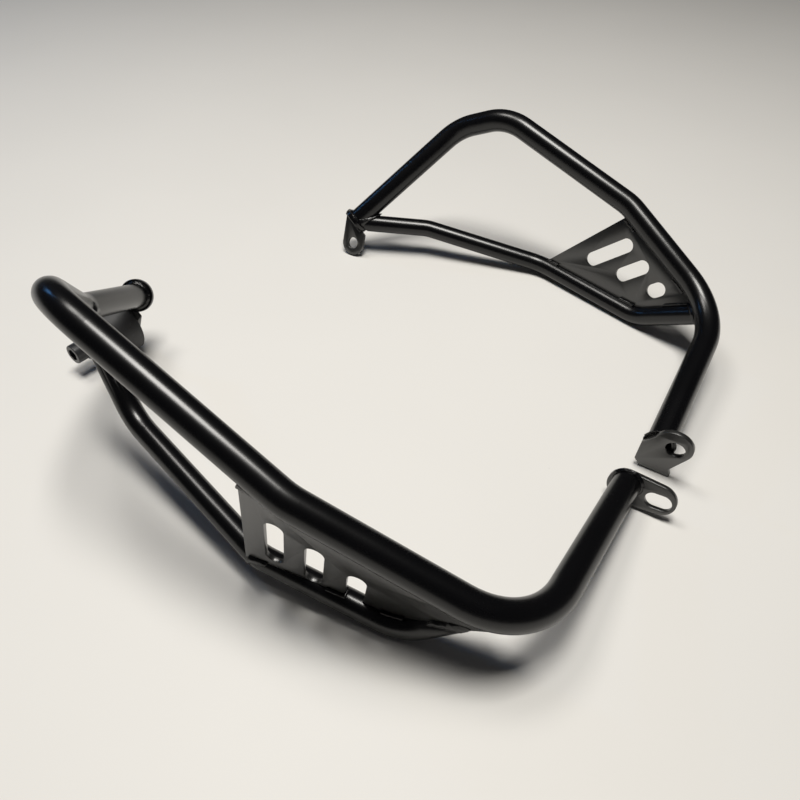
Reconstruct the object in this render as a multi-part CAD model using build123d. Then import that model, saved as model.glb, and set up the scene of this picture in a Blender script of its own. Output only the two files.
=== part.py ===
from build123d import *
import os

# Tubes: outside diameter and wall
MAIN_OD = 25.4
MAIN_WALL = 2.0
BRACE_OD = 21.3
BRACE_WALL = 2.0

# Right bar, bend points of the main tube's centre line from its upper end to its lower end.
# X is right, Y is away and Z is up from the table, in millimetres.
RIGHT_UPPER_END = (-61, 839, 43.5)
RIGHT_SHOULDER = (65.5, 870, 155)
RIGHT_CROWN = (120.5, 840.5, 181.5)
RIGHT_MIDDLE = (257.5, 739.5, 124)
RIGHT_KNEE = (344.5, 627.5, 56)
RIGHT_LOWER_END = (242, 450.5, 36)
RIGHT_BEND_RADII = [56, 63, 61, 81]

# Right bar, bend points of the brace tube, which starts and ends on the main tube's axis
RIGHT_BRACE_START = (-58.5, 837, 40)
RIGHT_BRACE_DIP = (31, 830, 37.5)
RIGHT_BRACE_LOW = (180, 788.5, 13)
RIGHT_BRACE_TURN = (279.5, 681.5, 10.5)
RIGHT_BRACE_END = (331.5, 624.5, 57.5)
RIGHT_BRACE_RADII = [46, 57, 51]

# Left bar, bend points of the main tube from its upper end to its lower end
LEFT_UPPER_END = (-284.5, 617, 70)
LEFT_SHOULDER = (-284, 502.5, 137)
LEFT_CROWN = (-252.5, 401.5, 231)
LEFT_MIDDLE = (-73.5, 290, 141)
LEFT_KNEE = (95.5, 237, 61)
LEFT_LOWER_END = (206, 411.5, 25)
LEFT_BEND_RADII = [60, 65, 62, 78]

# Left bar, bend points of the brace tube
LEFT_BRACE_START = (-282.5, 501, 138.5)
LEFT_BRACE_DIP = (-238, 444, 57)
LEFT_BRACE_LOW = (-112, 325.5, 25)
LEFT_BRACE_TURN = (7, 272.5, 8.5)
LEFT_BRACE_END = (84.5, 261, 65.5)
LEFT_BRACE_RADII = [52, 57, 51]

# Upper ends: a round disc closes the tube and carries the mounting tab
DISC_DIAMETER = 35.0
DISC_THICKNESS = 5.0
TAB_THICKNESS = 5.0
TAB_WIDTH = 31.0
EDGE_BREAK = 0.6
RIGHT_TAB_HOLE_CENTRE = (-67, 826.5, 15.3)
RIGHT_TAB_FACING = (-0.47, -0.80, 0.38)

# Mounting bolt of the left bar, its spacer and its washer, in line along one axis
BOLT_DIAMETER = 14.0
BOLT_CLEARANCE = 0.5
BOLT_AXIS_START = (-305.5, 621.5, 29)
BOLT_HEADING = (0.58, 0.815, 0)
BOLT_END_PAST_TAB = 3.0
HEAD_DIAMETER = 21.5
HEAD_HEIGHT = 14.0
HEAD_ROUNDING = 1.2
HEX_ACROSS_FLATS = 12.0
HEX_DEPTH = 7.0
WASHER_DIAMETER = 26.0
WASHER_THICKNESS = 2.5
SPACER_DIAMETER = 58.0
SPACER_LENGTH = 38.0
SPACER_ROUNDING = 1.5
NECK_DIAMETER = 23.0
NECK_LENGTH = 15.0

# Lower end plate of the right bar, in its own plane: x to the right, y up from the tube's axis
PLATE_THICKNESS = 5.0
RIGHT_LOBE_CENTRE = (12, 7.5)
RIGHT_LOBE_RADIUS = 18.0
RIGHT_PLATE_HOLE_CENTRE = (14.5, 5)
RIGHT_PLATE_HOLE = 18.0
RIGHT_FOOT_OUTLINE = [(-15, -4), (-15, -28), (-9, -34.5), (21.5, -34.5), (17, -25), (28.5, 0), (0, 20)]
RIGHT_FOOT_ROUNDING = 2.0

# Lower end plate of the left bar, in its own plane: x to the right, y down from the tube's axis
LEFT_COLLAR_CENTRE = (0, 6)
LEFT_COLLAR_RADIUS = 18.0
LEFT_EAR_CENTRE = (29.5, 7.5)
LEFT_EAR_RADIUS = 15.5
LEFT_SLOT_CENTRE = (29.3, 9.5)
LEFT_SLOT_LENGTH = 24.0
LEFT_SLOT_WIDTH = 10.5

# Gusset plates, in their own plane: x along the main tube from its middle bend, y down to the brace
GUSSET_THICKNESS = 4.0
RIGHT_GUSSET_START = 10.0
RIGHT_GUSSET_FOOT = (-30, 141)
RIGHT_SLOT_WIDTH = 16.5
RIGHT_SLOT_ANGLE = -69.0
RIGHT_SLOT_CENTRES = [(22.5, 55.5), (58, 47), (93.5, 38.5)]
RIGHT_SLOT_LENGTHS = [66, 45, 24]
LEFT_GUSSET_START = -36.5
LEFT_GUSSET_FOOT = (-2, 129)
LEFT_SLOT_WIDTH = 16.0
LEFT_SLOT_ANGLE = 75.0
LEFT_SLOT_CENTRES = [(9.5, 72), (43.5, 72.5), (79.5, 72.5)]
LEFT_SLOT_LENGTHS = [64, 58, 46]

# Weld beads: leg length, and where each gusset is stitched to the brace and to the main tube,
# as stretches along the gusset's x direction
WELD_LEG = 3.0
BEAD_REACH = 34.0
RIGHT_BRACE_STITCHES = [(-30, -12), (72, 90), (112, 140)]
RIGHT_MAIN_STITCHES = [(8, 26), (96, 116)]
LEFT_BRACE_STITCHES = [(-2, 14), (62, 78), (106, 122), (136, 160)]
LEFT_MAIN_STITCHES = [(-34, -16), (60, 80), (140, 160)]

# Size of the helper blocks that trim a piece to a plane; larger than any piece they cut
TRIM_REACH = 80.0
# Cut-off scraps smaller than this, in cubic millimetres, are dropped
SLIVER_VOLUME = 1.0


def heading(start, end):
    """Unit vector from one point to another."""
    return (Vector(*end) - Vector(*start)).normalized()


def sweep_along(points, radii, section):
    """Sweep a section along a bent centre line."""
    start = Plane(origin=points[0], z_dir=heading(points[0], points[1]))
    return sweep(start * section, path=FilletPolyline(*points, radius=radii))


def tube(points, radii, outside, wall):
    """Hollow bent tube."""
    return sweep_along(points, radii, Circle(outside / 2) - Circle(outside / 2 - wall))


def rod(points, radii, outside):
    """Solid bent bar with a tube's outer surface, used to cope what meets the tube."""
    return sweep_along(points, radii, Circle(outside / 2))


def face_plane(origin, normal, toward):
    """Plane with a given normal whose x axis points as nearly as it can along another direction."""
    across = Vector(*normal).normalized()
    along = Vector(*toward)
    return Plane(origin=origin, x_dir=along - across * along.dot(across), z_dir=across)


def half_space(origin, outward):
    """Block that holds everything near a tube's end on the outward side of a plane."""
    return extrude(Plane(origin=origin, z_dir=outward) * Circle(TRIM_REACH), TRIM_REACH)


def slot(centre, length, width, angle):
    """Obround cut-out given by its overall length."""
    return Pos(*centre) * Rot(0, 0, angle) * SlotOverall(length, width)


def end_disc(tube_end, outward):
    """Round disc that closes a tube."""
    disc = extrude(Plane(origin=tube_end, z_dir=outward) * Circle(DISC_DIAMETER / 2), DISC_THICKNESS)
    return chamfer(disc.edges().filter_by(GeomType.CIRCLE), EDGE_BREAK)


def mounting_tab(hole_centre, facing, disc_centre, disc_face, outward, both):
    """Tab with a round end and a bolt hole, cut off where it stands on the disc."""
    root = Vector(*disc_centre) - Vector(*hole_centre)
    plane = face_plane(hole_centre, facing, tuple(root))
    reach = root.length + DISC_DIAMETER / 2
    outline = Circle(TAB_WIDTH / 2) + Pos(reach / 2, 0) * Rectangle(reach, TAB_WIDTH)
    outline -= Circle((BOLT_DIAMETER + BOLT_CLEARANCE) / 2)
    thickness = TAB_THICKNESS / 2 if both else TAB_THICKNESS
    tab = extrude(plane * outline, thickness, both=both) - half_space(disc_face, -outward)
    strip = Pos(reach / 2, 0) * Rectangle(reach, TAB_WIDTH)
    band = extrude(plane * strip, thickness + WELD_LEG, both=both)
    if not both:
        band += extrude(plane * strip, -WELD_LEG)
    collar = extrude(Plane(origin=disc_face, z_dir=outward) * Circle(DISC_DIAMETER / 2 - EDGE_BREAK), WELD_LEG)
    return solid_parts(tab), solid_parts(band & collar - tab)


def ring_weld(tube_end, inward, tube_rod):
    """Fillet weld round a tube where it stands on a plate."""
    outer = MAIN_OD / 2 + WELD_LEG
    seat = Plane(origin=tube_end, z_dir=inward)
    cone = seat * Cone(outer, MAIN_OD / 2, WELD_LEG, align=(Align.CENTER, Align.CENTER, Align.MIN))
    return cone - tube_rod


def tube_bead(fat_main, fat_brace, centre, rods):
    """Weld bead where the brace meets the main tube, kept to one joint."""
    bead = fat_main & fat_brace & Pos(*centre) * Sphere(BEAD_REACH)
    return bead - rods[0] - rods[1]


def gusset_plane(middle, knee, brace_low, brace_turn):
    """Plane through the main tube's straight and the middle of the brace's straight."""
    along = heading(middle, knee)
    to_brace = (Vector(*brace_low) + Vector(*brace_turn)) * 0.5 - Vector(*middle)
    return Plane(origin=middle, x_dir=along, z_dir=along.cross(to_brace))


def gusset_field(plane, start, foot, brace_turn, brace_end):
    """Outline between the two tubes' axes that a gusset fills."""
    turn = plane.to_local_coords(Vector(*brace_turn))
    end = plane.to_local_coords(Vector(*brace_end))
    return make_face(Polyline((start, 0), foot, (turn.X, turn.Y), (end.X, end.Y), (end.X, 0), close=True))


def stitches(field, plane, spans, fat_tube, removed):
    """Short weld beads on both faces of a gusset, along one of its tubes."""
    width = GUSSET_THICKNESS / 2 + WELD_LEG
    beads = []
    for low, high in spans:
        stretch = Pos((low + high) / 2, 0) * Rectangle(high - low, 4 * TRIM_REACH)
        bead = extrude(plane * (field & stretch), width, both=True) & fat_tube
        for piece in removed:
            bead -= piece
        beads += solid_parts(bead)
    return beads


def solid_parts(shape):
    """The solids of a cut shape, without slivers."""
    return [solid for solid in shape.solids() if solid.volume > SLIVER_VOLUME]


def build_bar(main_points, main_radii, brace_points, brace_radii, plate_outline, gusset_values, seams):
    """Everything that the two bars share, as lists of solids by name."""
    start, foot, slots = gusset_values
    upper, lower = main_points[0], main_points[-1]
    outward_up = heading(main_points[1], upper)
    outward_low = heading(main_points[-2], lower)
    main_rod = rod(main_points, main_radii, MAIN_OD)
    brace_rod = rod(brace_points, brace_radii, BRACE_OD)
    rods = (main_rod, brace_rod)
    fat_main = rod(main_points, main_radii, MAIN_OD + 2 * WELD_LEG)
    fat_brace = rod(brace_points, brace_radii, BRACE_OD + 2 * WELD_LEG)
    beyond = half_space(upper, outward_up)
    brace = tube(brace_points, brace_radii, BRACE_OD, BRACE_WALL) - main_rod - beyond

    plane = gusset_plane(main_points[3], main_points[4], brace_points[2], brace_points[3])
    field = gusset_field(plane, start, foot, brace_points[3], brace_points[4])
    outline = field
    for opening in slots:
        outline -= opening
    plate = extrude(plane * outline, GUSSET_THICKNESS / 2, both=True) - main_rod - brace_rod
    plate = sorted(plate.solids(), key=lambda solid: solid.volume)[-1]

    seat = face_plane(lower, tuple(outward_low), (1, 0, 0))
    disc_ring = ring_weld(upper, -outward_up, main_rod) - brace_rod
    start_bead = tube_bead(fat_main, fat_brace, brace_points[0], rods) - beyond - disc_ring
    end_bead = tube_bead(fat_main, fat_brace, brace_points[-1], rods) - plate
    brace_seams, main_seams = seams
    beads = stitches(field, plane, brace_seams, fat_brace, (*rods, plate, end_bead))
    beads += stitches(field, plane, main_seams, fat_main, (*rods, plate, end_bead))
    return {
        "main_tube": solid_parts(tube(main_points, main_radii, MAIN_OD, MAIN_WALL)),
        "brace_tube": solid_parts(brace),
        "gusset_plate": [plate],
        "upper_end_disc": solid_parts(end_disc(upper, outward_up)),
        "lower_end_plate": solid_parts(extrude(seat * plate_outline, PLATE_THICKNESS)),
        "upper_disc_weld": solid_parts(disc_ring),
        "lower_plate_weld": solid_parts(ring_weld(lower, -outward_low, main_rod)),
        "brace_start_weld": solid_parts(start_bead),
        "brace_end_weld": solid_parts(end_bead),
        "gusset_welds": beads,
    }


def right_plate_outline():
    """Hooked outline of the right lower end plate."""
    foot = make_face(FilletPolyline(*RIGHT_FOOT_OUTLINE, radius=RIGHT_FOOT_ROUNDING, close=True))
    outline = foot + Pos(*RIGHT_LOBE_CENTRE) * Circle(RIGHT_LOBE_RADIUS)
    return outline - Pos(*RIGHT_PLATE_HOLE_CENTRE) * Circle(RIGHT_PLATE_HOLE / 2)


def left_plate_outline():
    """Round collar that runs out into an ear with a slot."""
    collar = Pos(*LEFT_COLLAR_CENTRE) * Circle(LEFT_COLLAR_RADIUS)
    ear = Pos(*LEFT_EAR_CENTRE) * Circle(LEFT_EAR_RADIUS)
    outline = make_hull((collar + ear).edges())
    return outline - slot(LEFT_SLOT_CENTRE, LEFT_SLOT_LENGTH, LEFT_SLOT_WIDTH, 0)


def left_bolt_stack():
    """Spacer, washer and bolt, built along the bolt's axis from the tab towards the head."""
    axis = Plane(origin=BOLT_AXIS_START, x_dir=(0, 0, 1), z_dir=-Vector(*BOLT_HEADING).normalized())
    hole = BOLT_DIAMETER + BOLT_CLEARANCE
    stack = SPACER_LENGTH + NECK_LENGTH
    head_seat = stack + WASHER_THICKNESS
    low = (Align.CENTER, Align.CENTER, Align.MIN)
    puck = Cylinder(SPACER_DIAMETER / 2, SPACER_LENGTH, align=low)
    puck = fillet(puck.edges().filter_by(GeomType.CIRCLE), SPACER_ROUNDING)
    spacer = puck + Cylinder(NECK_DIAMETER / 2, stack, align=low) - Cylinder(hole / 2, stack, align=low)
    washer = Cylinder(WASHER_DIAMETER / 2, WASHER_THICKNESS, align=low)
    washer -= Cylinder(hole / 2, WASHER_THICKNESS, align=low)
    head = Cylinder(HEAD_DIAMETER / 2, HEAD_HEIGHT, align=low)
    head = fillet(head.edges().filter_by(GeomType.CIRCLE).sort_by(Axis.Z)[-1], HEAD_ROUNDING)
    socket = extrude(RegularPolygon(HEX_ACROSS_FLATS / 2, 6, major_radius=False), HEX_DEPTH)
    head -= Pos(0, 0, HEAD_HEIGHT - HEX_DEPTH) * socket
    past = TAB_THICKNESS + BOLT_END_PAST_TAB
    shank = Pos(0, 0, -past) * Cylinder(BOLT_DIAMETER / 2, head_seat + past, align=low)
    return {
        "mounting_spacer": solid_parts(axis * spacer),
        "mounting_washer": solid_parts(axis * Pos(0, 0, stack) * washer),
        "mounting_bolt": solid_parts(axis * (Pos(0, 0, head_seat) * head + shank)),
    }


right_main_points = [
    RIGHT_UPPER_END, RIGHT_SHOULDER, RIGHT_CROWN, RIGHT_MIDDLE, RIGHT_KNEE, RIGHT_LOWER_END,
]
right_brace_points = [
    RIGHT_BRACE_START, RIGHT_BRACE_DIP, RIGHT_BRACE_LOW, RIGHT_BRACE_TURN, RIGHT_BRACE_END,
]
left_main_points = [
    LEFT_UPPER_END, LEFT_SHOULDER, LEFT_CROWN, LEFT_MIDDLE, LEFT_KNEE, LEFT_LOWER_END,
]
left_brace_points = [
    LEFT_BRACE_START, LEFT_BRACE_DIP, LEFT_BRACE_LOW, LEFT_BRACE_TURN, LEFT_BRACE_END,
]
right_slots = [
    slot(centre, length, RIGHT_SLOT_WIDTH, RIGHT_SLOT_ANGLE)
    for centre, length in zip(RIGHT_SLOT_CENTRES, RIGHT_SLOT_LENGTHS)
]
left_slots = [
    slot(centre, length, LEFT_SLOT_WIDTH, LEFT_SLOT_ANGLE)
    for centre, length in zip(LEFT_SLOT_CENTRES, LEFT_SLOT_LENGTHS)
]

right = build_bar(
    right_main_points, RIGHT_BEND_RADII, right_brace_points, RIGHT_BRACE_RADII, right_plate_outline(),
    (RIGHT_GUSSET_START, RIGHT_GUSSET_FOOT, right_slots), (RIGHT_BRACE_STITCHES, RIGHT_MAIN_STITCHES),
)
left = build_bar(
    left_main_points, LEFT_BEND_RADII, left_brace_points, LEFT_BRACE_RADII, left_plate_outline(),
    (LEFT_GUSSET_START, LEFT_GUSSET_FOOT, left_slots), (LEFT_BRACE_STITCHES, LEFT_MAIN_STITCHES),
)

right_outward = heading(RIGHT_SHOULDER, RIGHT_UPPER_END)
right_disc_face = Vector(*RIGHT_UPPER_END) + right_outward * DISC_THICKNESS
right["upper_tab"], right["upper_tab_weld"] = mounting_tab(
    RIGHT_TAB_HOLE_CENTRE, RIGHT_TAB_FACING, RIGHT_UPPER_END, right_disc_face, right_outward, True,
)
left_outward = heading(LEFT_SHOULDER, LEFT_UPPER_END)
left_disc_face = Vector(*LEFT_UPPER_END) + left_outward * DISC_THICKNESS
left["upper_tab"], left["upper_tab_weld"] = mounting_tab(
    BOLT_AXIS_START, BOLT_HEADING, LEFT_UPPER_END, left_disc_face, left_outward, False,
)
left.update(left_bolt_stack())

pieces = {"right_" + name: piece for name, piece in right.items()}
pieces.update({"left_" + name: piece for name, piece in left.items()})

# The part's frame: middle of its outline at X = Y = 0, and what lies lowest at Z = 0
boxes = [solid.bounding_box() for group in pieces.values() for solid in group]
middle_x = (min(box.min.X for box in boxes) + max(box.max.X for box in boxes)) / 2
middle_y = (min(box.min.Y for box in boxes) + max(box.max.Y for box in boxes)) / 2
lowest = min(box.min.Z for box in boxes)
shift = Pos(-middle_x, -middle_y, -lowest)

os.makedirs("parts", exist_ok=True)
for name, group in pieces.items():
    placed = [shift * solid for solid in group]
    export_step(placed[0] if len(placed) == 1 else Compound(placed), "parts/" + name + ".step")
print("moved by", round(-middle_x, 3), round(-middle_y, 3), round(-lowest, 3))
for name, group in pieces.items():
    low = min(solid.bounding_box().min.Z for solid in group)
    print(name, len(group), all(solid.is_valid for solid in group), [round(solid.volume) for solid in group], round(low, 1))
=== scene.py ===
"""Looks for a pair of tubular motorcycle crash bars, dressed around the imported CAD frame."""
import logging
import math
from dataclasses import dataclass
from enum import Enum
from typing import Any, Optional, Union

import bpy
from mathutils import Matrix, Vector


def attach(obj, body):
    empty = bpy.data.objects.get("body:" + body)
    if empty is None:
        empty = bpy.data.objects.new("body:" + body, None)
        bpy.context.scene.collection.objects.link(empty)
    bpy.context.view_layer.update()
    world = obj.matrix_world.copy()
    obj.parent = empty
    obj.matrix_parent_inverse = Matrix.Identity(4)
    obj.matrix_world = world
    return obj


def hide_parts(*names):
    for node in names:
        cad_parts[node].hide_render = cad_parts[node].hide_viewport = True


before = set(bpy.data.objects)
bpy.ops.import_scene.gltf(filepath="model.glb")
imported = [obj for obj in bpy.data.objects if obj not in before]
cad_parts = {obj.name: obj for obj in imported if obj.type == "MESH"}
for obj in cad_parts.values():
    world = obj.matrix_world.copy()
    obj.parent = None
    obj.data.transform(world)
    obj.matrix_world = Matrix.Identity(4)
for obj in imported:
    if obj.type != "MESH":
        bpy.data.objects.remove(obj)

LOG = logging.getLogger("crash_bars")
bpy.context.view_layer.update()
MM = 0.001
MERGE_DISTANCE = 0.002 * MM
FLAT_ANGLE = math.radians(1.0)
Colour = tuple[float, float, float]


class Side(Enum):
    """The two bars of the set."""

    RIGHT = "right"
    LEFT = "left"


class Signal:
    """A shader socket that reads like a number in Python expressions."""

    def __init__(self, graph: "Graph", socket: bpy.types.NodeSocket) -> None:
        """Keep the socket and the graph that new nodes go to."""
        self.graph = graph
        self.socket = socket

    def _math(self, operation: str, first: Any, second: Any) -> "Signal":
        """Add one Math node."""
        return self.graph.add("ShaderNodeMath", {"operation": operation}, {0: first, 1: second})

    def __add__(self, other: Any) -> "Signal":
        """Sum of two values."""
        return self._math("ADD", self, other)

    def __radd__(self, other: Any) -> "Signal":
        """Sum with a plain number on the left."""
        return self._math("ADD", other, self)

    def __sub__(self, other: Any) -> "Signal":
        """Difference of two values."""
        return self._math("SUBTRACT", self, other)

    def __rsub__(self, other: Any) -> "Signal":
        """Difference with a plain number on the left."""
        return self._math("SUBTRACT", other, self)

    def __mul__(self, other: Any) -> "Signal":
        """Product of two values."""
        return self._math("MULTIPLY", self, other)

    def step(self, low: float, high: float) -> "Signal":
        """Smooth rise from 0 at low to 1 at high.

        Args:
            low: value at which the rise starts.
            high: value at which it ends; lower than low gives a fall.

        Returns:
            The masked value, from 0 to 1.
        """
        start, end = min(low, high), max(low, high)
        rise = self.graph.add(
            "ShaderNodeMapRange",
            {"interpolation_type": "SMOOTHSTEP"},
            {"Value": self, "From Min": start, "From Max": end},
        )
        return rise if high > low else 1 - rise


class Graph:
    """Node tree of one material."""

    def __init__(self, name: str) -> None:
        """Start an empty material.

        Args:
            name: the material's name.
        """
        self.material = bpy.data.materials.new(name)
        self.material.use_nodes = True
        self.tree = self.material.node_tree
        self.tree.nodes.clear()

    def node(
        self,
        kind: str,
        settings: Optional[dict[str, Any]] = None,
        values: Optional[dict[Union[int, str], Any]] = None,
    ) -> bpy.types.Node:
        """Add one node and fill its sockets.

        Args:
            kind: Blender's node type.
            settings: node properties, set before the sockets.
            values: numbers, colours or signals for its sockets.

        Returns:
            The new node.
        """
        node = self.tree.nodes.new(kind)
        for key, value in (settings or {}).items():
            setattr(node, key, value)
        for key, value in (values or {}).items():
            if isinstance(value, Signal):
                self.tree.links.new(value.socket, node.inputs[key])
            else:
                node.inputs[key].default_value = value
        return node

    def add(
        self,
        kind: str,
        settings: Optional[dict[str, Any]] = None,
        values: Optional[dict[Union[int, str], Any]] = None,
        output: Union[int, str] = 0,
    ) -> Signal:
        """Add one node and hand on one of its outputs.

        Args:
            kind: Blender's node type.
            settings: node properties, set before the sockets.
            values: numbers, colours or signals for its sockets.
            output: which output is handed on.

        Returns:
            The chosen output as a signal.
        """
        return Signal(self, self.node(kind, settings, values).outputs[output])

    def position(self) -> Signal:
        """Object coordinates, which are metres in the part's frame."""
        return self.add("ShaderNodeTexCoord", output="Object")

    def noise(self, size: float, detail: float = 2.0, shift: float = 0.0) -> Signal:
        """Noise from 0 to 1 whose blotches are about one size across.

        Args:
            size: blotch size in metres.
            detail: how many finer layers it has.
            shift: moves the pattern, so that two noises differ.

        Returns:
            The noise value.
        """
        place = self.add(
            "ShaderNodeVectorMath", {"operation": "ADD"}, {0: self.position(), 1: (shift, shift, -shift)}
        )
        return self.add("ShaderNodeTexNoise", None, {"Vector": place, "Scale": 1 / size, "Detail": detail})

    def dots(self, spacing: float, radius: float) -> Signal:
        """Small round dots scattered at random.

        Args:
            spacing: mean distance between dots in metres.
            radius: a dot's radius in metres.

        Returns:
            1 on a dot and 0 beside it.
        """
        cells = self.add("ShaderNodeTexVoronoi", None, {"Vector": self.position(), "Scale": 1 / spacing})
        return cells.step(radius / spacing, 0.6 * radius / spacing)

    def mix(self, factor: Any, first: Any, second: Any) -> Signal:
        """Blend two colours."""
        return self.add(
            "ShaderNodeMix", {"data_type": "RGBA"}, {0: factor, 6: first, 7: second}, output=2
        )

    def surface(self, shader: Signal) -> bpy.types.Material:
        """Connect the finished shader and hand back the material."""
        self.node("ShaderNodeOutputMaterial", None, {"Surface": shader})
        return self.material


def rgba(colour: Colour, gain: float = 1.0) -> tuple[float, float, float, float]:
    """Colour with full cover, brightened by a gain."""
    return (colour[0] * gain, colour[1] * gain, colour[2] * gain, 1.0)


@dataclass(frozen=True)
class PowderCoat:
    """Baked powder paint: a slightly uneven satin skin with fine dust on it."""

    name: str
    colour: Colour
    roughness: float
    grain_size: float = 2.2 * MM
    grain_depth: float = 0.004 * MM
    cloud_size: float = 40 * MM
    dust: float = 0.4
    dust_colour: Colour = (0.32, 0.30, 0.27)
    speck_spacing: float = 17 * MM
    speck_radius: float = 0.55 * MM
    speck_patch: float = 60 * MM
    ior: float = 1.5

    def build(self) -> bpy.types.Material:
        """Make the material.

        Returns:
            The finished material.
        """
        graph = Graph(self.name)
        cloud = graph.noise(self.cloud_size, 3.0)
        grain = graph.noise(self.grain_size, 3.0, 0.3)
        waves = graph.noise(5 * self.grain_size, 1.0, 0.7)
        patches = graph.noise(self.speck_patch, 1.0, 1.3).step(0.45, 0.6)
        dust = graph.dots(self.speck_spacing, self.speck_radius) * patches * self.dust
        shade = graph.mix(cloud, rgba(self.colour, 0.85), rgba(self.colour, 1.2))
        tint = graph.mix(dust, shade, rgba(self.dust_colour))
        rough = self.roughness + (cloud - 0.5) * 0.05 + (grain - 0.5) * 0.04 + dust * 0.3
        height = grain * 0.6 + waves * 0.4
        normal = graph.add(
            "ShaderNodeBump", None, {"Strength": 1.0, "Distance": self.grain_depth, "Height": height}
        )
        shader = graph.add(
            "ShaderNodeBsdfPrincipled",
            None,
            {"Base Color": tint, "Roughness": rough, "IOR": self.ior, "Normal": normal},
        )
        return graph.surface(shader)


@dataclass(frozen=True)
class MattSpacer:
    """Matt charcoal finish of the turned spacer."""

    name: str = "spacer_charcoal"
    colour: Colour = (0.045, 0.045, 0.047)
    roughness: float = 0.55
    cloud_size: float = 14 * MM
    grain_size: float = 0.9 * MM
    grain_depth: float = 0.03 * MM
    rubbed_size: float = 6 * MM

    def build(self) -> bpy.types.Material:
        """Make the material.

        Returns:
            The finished material.
        """
        graph = Graph(self.name)
        cloud = graph.noise(self.cloud_size, 4.0)
        fine = graph.noise(self.grain_size, 2.0, 0.4)
        rubbed = graph.noise(self.rubbed_size, 5.0, 2.1).step(0.58, 0.75)
        shade = graph.mix(cloud, rgba(self.colour, 0.8), rgba(self.colour, 1.25))
        tint = graph.mix(rubbed * 0.35, shade, rgba(self.colour, 2.2))
        rough = self.roughness + (fine - 0.5) * 0.12 - rubbed * 0.06
        normal = graph.add(
            "ShaderNodeBump", None, {"Strength": 1.0, "Distance": self.grain_depth, "Height": fine}
        )
        shader = graph.add(
            "ShaderNodeBsdfPrincipled", None, {"Base Color": tint, "Roughness": rough, "Normal": normal}
        )
        return graph.surface(shader)


@dataclass(frozen=True)
class BlackOxide:
    """Oiled black steel of the bolt and washer."""

    name: str = "bolt_black_oxide"
    colour: Colour = (0.03, 0.03, 0.032)
    roughness: float = 0.32
    metallic: float = 0.25
    cloud_size: float = 5 * MM
    worn_size: float = 2.2 * MM

    def build(self) -> bpy.types.Material:
        """Make the material.

        Returns:
            The finished material.
        """
        graph = Graph(self.name)
        cloud = graph.noise(self.cloud_size, 4.0)
        worn = graph.noise(self.worn_size, 4.0, 1.7).step(0.62, 0.8)
        shade = graph.mix(cloud, rgba(self.colour, 0.8), rgba(self.colour, 1.3))
        tint = graph.mix(worn * 0.5, shade, rgba(self.colour, 4.0))
        rough = self.roughness + (cloud - 0.5) * 0.15
        metallic = self.metallic + worn * 0.4
        shader = graph.add(
            "ShaderNodeBsdfPrincipled", None, {"Base Color": tint, "Roughness": rough, "Metallic": metallic}
        )
        return graph.surface(shader)


@dataclass(frozen=True)
class TableTop:
    """Pale, slightly uneven table top that the bars lie on."""

    name: str = "table_pale"
    colour: Colour = (0.78, 0.765, 0.735)
    roughness: float = 0.6
    cloud_size: float = 350 * MM
    crumb_spacing: float = 60 * MM
    crumb_radius: float = 1.1 * MM
    crumb_patch: float = 30 * MM

    def build(self) -> bpy.types.Material:
        """Make the material.

        Returns:
            The finished material.
        """
        graph = Graph(self.name)
        cloud = graph.noise(self.cloud_size, 3.0)
        patches = graph.noise(self.crumb_patch, 2.0, 0.6).step(0.5, 0.6)
        crumbs = graph.dots(self.crumb_spacing, self.crumb_radius) * patches
        shade = graph.mix(cloud, rgba(self.colour, 0.97), rgba(self.colour, 1.03))
        tint = graph.mix(crumbs * 0.25, shade, rgba(self.colour, 0.55))
        shader = graph.add(
            "ShaderNodeBsdfPrincipled", None, {"Base Color": tint, "Roughness": self.roughness}
        )
        return graph.surface(shader)


@dataclass
class Camera:
    """Viewpoint of the photograph, solved for a table at height 0."""

    place: tuple[float, float, float] = (5.66 * MM, -558.5 * MM, 509.6 * MM)
    tilt_down: float = 43.41
    roll: float = 1.36
    lens: float = 31.63

    def build(self) -> None:
        """Add the camera and make it the scene's own."""
        data = bpy.data.cameras.new("photo_camera")
        data.lens = self.lens
        data.sensor_width = 36.0
        data.clip_start = 0.01
        camera = bpy.data.objects.new("photo_camera", data)
        bpy.context.scene.collection.objects.link(camera)
        turn = Matrix.Rotation(math.radians(90 - self.tilt_down), 4, "X")
        turn = turn @ Matrix.Rotation(math.radians(self.roll), 4, "Z")
        camera.matrix_world = Matrix.Translation(Vector(self.place)) @ turn
        bpy.context.scene.camera = camera


@dataclass(frozen=True)
class Lamp:
    """One rectangular ceiling lamp."""

    name: str
    place: tuple[float, float, float]
    size: tuple[float, float]
    power: float
    colour: Colour = (1.0, 1.0, 1.0)
    aim: tuple[float, float, float] = (0.0, 0.0, 0.0)

    def build(self) -> None:
        """Add the lamp, facing its aim."""
        data = bpy.data.lights.new(self.name, "AREA")
        data.shape = "RECTANGLE"
        data.size, data.size_y = self.size
        data.energy = self.power
        data.color = self.colour
        lamp = bpy.data.objects.new(self.name, data)
        bpy.context.scene.collection.objects.link(lamp)
        facing = Vector(self.aim) - Vector(self.place)
        turn = facing.to_track_quat("-Z", "Y").to_matrix().to_4x4()
        lamp.matrix_world = Matrix.Translation(Vector(self.place)) @ turn


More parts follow.
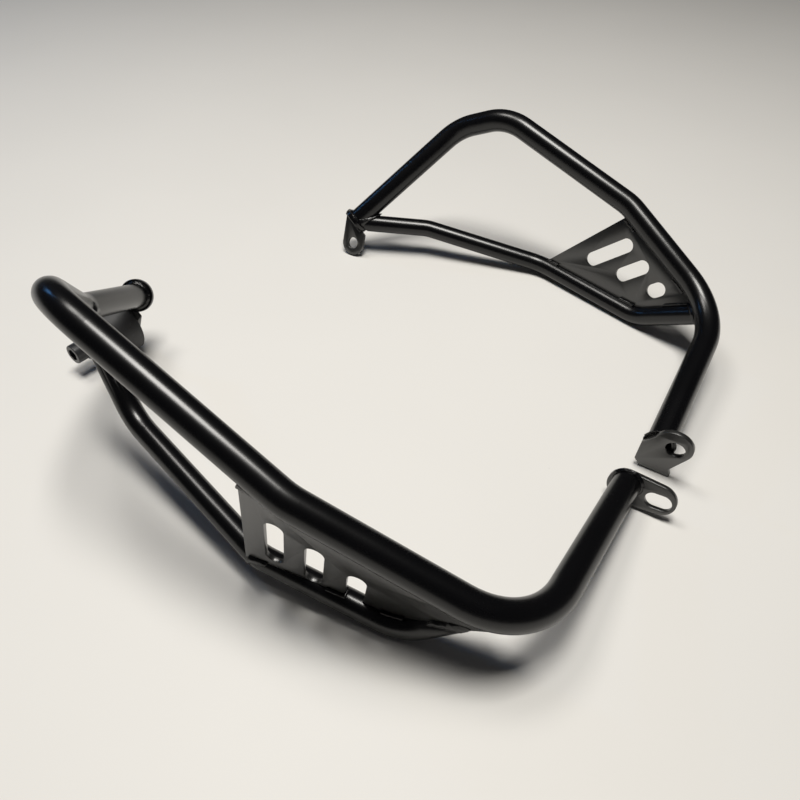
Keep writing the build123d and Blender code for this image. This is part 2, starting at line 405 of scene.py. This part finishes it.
@dataclass
class Studio:
    """Table, ceiling light and dim room."""

    table_size: float = 9.0
    table_centre_y: float = 1.5
    table_drop: float = 0.2 * MM
    room: Colour = (0.03, 0.03, 0.032)
    lamps: tuple[Lamp, ...] = (
        Lamp("ceiling_panel", (0.05, -0.15, 2.4), (0.8, 0.8), 48.0, (1.0, 0.975, 0.925)),
        Lamp("ceiling_back_left", (-0.8, 0.5, 2.4), (0.7, 0.7), 17.0, (1.0, 0.97, 0.92)),
        Lamp("blue_window", (-1.95, 1.2, 1.35), (0.2, 0.2), 2.0, (0.15, 0.45, 1.0)),
    )

    def build(self) -> None:
        """Add the table top, the lamps and the room's own dim light."""
        centre = (0, self.table_centre_y, -self.table_drop)
        bpy.ops.mesh.primitive_plane_add(size=self.table_size, location=centre)
        table = bpy.context.object
        table.name = "table_top"
        table.data.materials.append(TableTop().build())
        for lamp in self.lamps:
            lamp.build()
        world = bpy.data.worlds.new("room")
        world.use_nodes = True
        background = world.node_tree.nodes["Background"]
        background.inputs["Color"].default_value = rgba(self.room)
        background.inputs["Strength"].default_value = 1.0
        bpy.context.scene.world = world
        bpy.context.scene.view_settings.view_transform = "Standard"
        LOG.info("studio: %d lamp(s)", len(self.lamps))


def only(piece: bpy.types.Object) -> None:
    """Make one object the only selected and active one."""
    bpy.ops.object.select_all(action="DESELECT")
    piece.select_set(True)
    bpy.context.view_layer.objects.active = piece


def merged_copy(node: str, name: str) -> bpy.types.Object:
    """Copy a CAD node's mesh with its loose triangles joined.

    Args:
        node: the CAD node.
        name: the new piece's name.

    Returns:
        The new object, at the origin.
    """
    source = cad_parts[node]
    piece = bpy.data.objects.new(name, source.data.copy())
    bpy.context.scene.collection.objects.link(piece)
    only(piece)
    bpy.ops.object.mode_set(mode="EDIT")
    bpy.ops.mesh.select_all(action="SELECT")
    bpy.ops.mesh.remove_doubles(threshold=MERGE_DISTANCE)
    bpy.ops.object.mode_set(mode="OBJECT")
    return piece


def finish_piece(piece: bpy.types.Object, node: str, material: bpy.types.Material) -> None:
    """Paint a piece, hang it on the part and let it stand for its CAD node."""
    piece.data.materials.clear()
    piece.data.materials.append(material)
    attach(piece, "root")
    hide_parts(node)
    LOG.info("%s: %d faces", piece.name, len(piece.data.polygons))


@dataclass(frozen=True)
class Trim:
    """Plane behind which the end of a brace and its bead are kept."""

    place: tuple[float, float, float]
    outward: tuple[float, float, float]

    def cut(self) -> None:
        """Cut the active mesh and close it on the plane."""
        bpy.ops.object.mode_set(mode="EDIT")
        bpy.ops.mesh.select_all(action="SELECT")
        bpy.ops.mesh.bisect(
            plane_co=self.place, plane_no=Vector(self.outward).normalized(), use_fill=True, clear_outer=True
        )
        bpy.ops.object.mode_set(mode="OBJECT")


# The left brace's rim stands out behind the main tube's bend. This plane cuts it off.
END_TRIMS: dict[Side, Trim] = {
    Side.LEFT: Trim((89.2 * MM, -308.1 * MM, 64.7 * MM), (0.879, 0.625, 0.647)),
}


@dataclass
class CrashBar:
    """One welded bar: tubes, plates and weld beads."""

    side: Side
    edge_round: float = 0.7 * MM
    edge_steps: int = 2
    sharp_angle: float = 35.0
    bead_voxel: float = 0.55 * MM
    bead_lump: float = 0.7 * MM
    bead_lump_size: float = 4.2 * MM

    def node(self, part: str) -> str:
        """Full name of one of this bar's nodes."""
        return self.side.value + "_" + part

    def paint_tubes(self, coat: bpy.types.Material) -> None:
        """Give the two CAD tubes their paint.

        Args:
            coat: the powder coat.
        """
        for part in ("main_tube", "brace_tube", "upper_end_disc"):
            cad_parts[self.node(part)].data.materials[0] = coat
        if self.side in END_TRIMS:
            self.trimmed_brace(coat)

    def trimmed_brace(self, coat: bpy.types.Material) -> None:
        """Model a brace tube without the rim that stands out behind the main tube.

        Args:
            coat: the powder coat.
        """
        piece = merged_copy(self.node("brace_tube"), self.node("brace_tube") + "_dressed")
        END_TRIMS[self.side].cut()
        bpy.ops.object.shade_smooth_by_angle(angle=math.radians(self.sharp_angle))
        finish_piece(piece, self.node("brace_tube"), coat)

    def plate(self, part: str, coat: bpy.types.Material) -> None:
        """Model a cut plate with softly rounded edges.

        Args:
            part: the plate's node without the side.
            coat: the powder coat.
        """
        piece = merged_copy(self.node(part), self.node(part) + "_dressed")
        bpy.ops.object.mode_set(mode="EDIT")
        bpy.ops.mesh.select_all(action="SELECT")
        bpy.ops.mesh.dissolve_limited(angle_limit=FLAT_ANGLE)
        bpy.ops.object.mode_set(mode="OBJECT")
        bevel = piece.modifiers.new("rounded_edges", "BEVEL")
        bevel.width = self.edge_round
        bevel.segments = self.edge_steps
        bevel.limit_method = "ANGLE"
        bevel.angle_limit = math.radians(self.sharp_angle)
        bevel.use_clamp_overlap = True
        bpy.ops.object.modifier_apply(modifier=bevel.name)
        bpy.ops.object.shade_smooth_by_angle(angle=math.radians(self.sharp_angle))
        finish_piece(piece, self.node(part), coat)

    def bead(self, part: str, coat: bpy.types.Material) -> None:
        """Model a weld bead with the lumps of its runs.

        Args:
            part: the bead's node without the side.
            coat: the paint over the weld.
        """
        piece = merged_copy(self.node(part), self.node(part) + "_dressed")
        if part == "brace_end_weld" and self.side in END_TRIMS:
            END_TRIMS[self.side].cut()
        remesh = piece.modifiers.new("even_skin", "REMESH")
        remesh.mode = "VOXEL"
        remesh.voxel_size = self.bead_voxel
        bpy.ops.object.modifier_apply(modifier=remesh.name)
        soft = piece.modifiers.new("soft", "SMOOTH")
        soft.factor = 0.6
        soft.iterations = 3
        bpy.ops.object.modifier_apply(modifier=soft.name)
        lumps = bpy.data.textures.new(piece.name + "_lumps", "CLOUDS")
        lumps.noise_scale = self.bead_lump_size
        lumps.noise_depth = 1
        swell = piece.modifiers.new("lumps", "DISPLACE")
        swell.texture = lumps
        swell.texture_coords = "LOCAL"
        swell.strength = self.bead_lump
        swell.mid_level = 0.5
        bpy.ops.object.modifier_apply(modifier=swell.name)
        bpy.ops.object.shade_smooth()
        finish_piece(piece, self.node(part), coat)

    def build(self, coat: bpy.types.Material, plate_coat: bpy.types.Material) -> None:
        """Dress the whole bar.

        Args:
            coat: powder coat of tubes and welds.
            plate_coat: powder coat of the plates.
        """
        self.paint_tubes(coat)
        for part in ("gusset_plate", "lower_end_plate", "upper_tab"):
            self.plate(part, plate_coat)
        for part in (
            "upper_disc_weld",
            "upper_tab_weld",
            "lower_plate_weld",
            "brace_start_weld",
            "brace_end_weld",
            "gusset_welds",
        ):
            self.bead(part, coat)


@dataclass
class BoltStack:
    """Spacer, washer and socket-head bolt on the left bar's upper tab."""

    spacer: str = "left_mounting_spacer"
    fasteners: tuple[str, ...] = ("left_mounting_washer", "left_mounting_bolt")

    def build(self) -> None:
        """Paint the three turned pieces."""
        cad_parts[self.spacer].data.materials[0] = MattSpacer().build()
        oxide = BlackOxide().build()
        for node in self.fasteners:
            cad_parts[node].data.materials[0] = oxide
        LOG.info("bolt stack dressed")


def main() -> None:
    """Build the scene in order."""
    logging.basicConfig(level=logging.INFO, format="%(name)s %(message)s")
    Camera().build()
    Studio().build()
    coat = PowderCoat("powder_black_satin", (0.0012, 0.0012, 0.0016), 0.26).build()
    plate_coat = PowderCoat("powder_black_plate", (0.016, 0.016, 0.0152), 0.3, ior=1.8).build()
    for side in Side:
        CrashBar(side).build(coat, plate_coat)
    BoltStack().build()


if __name__ == "__main__":
    main()
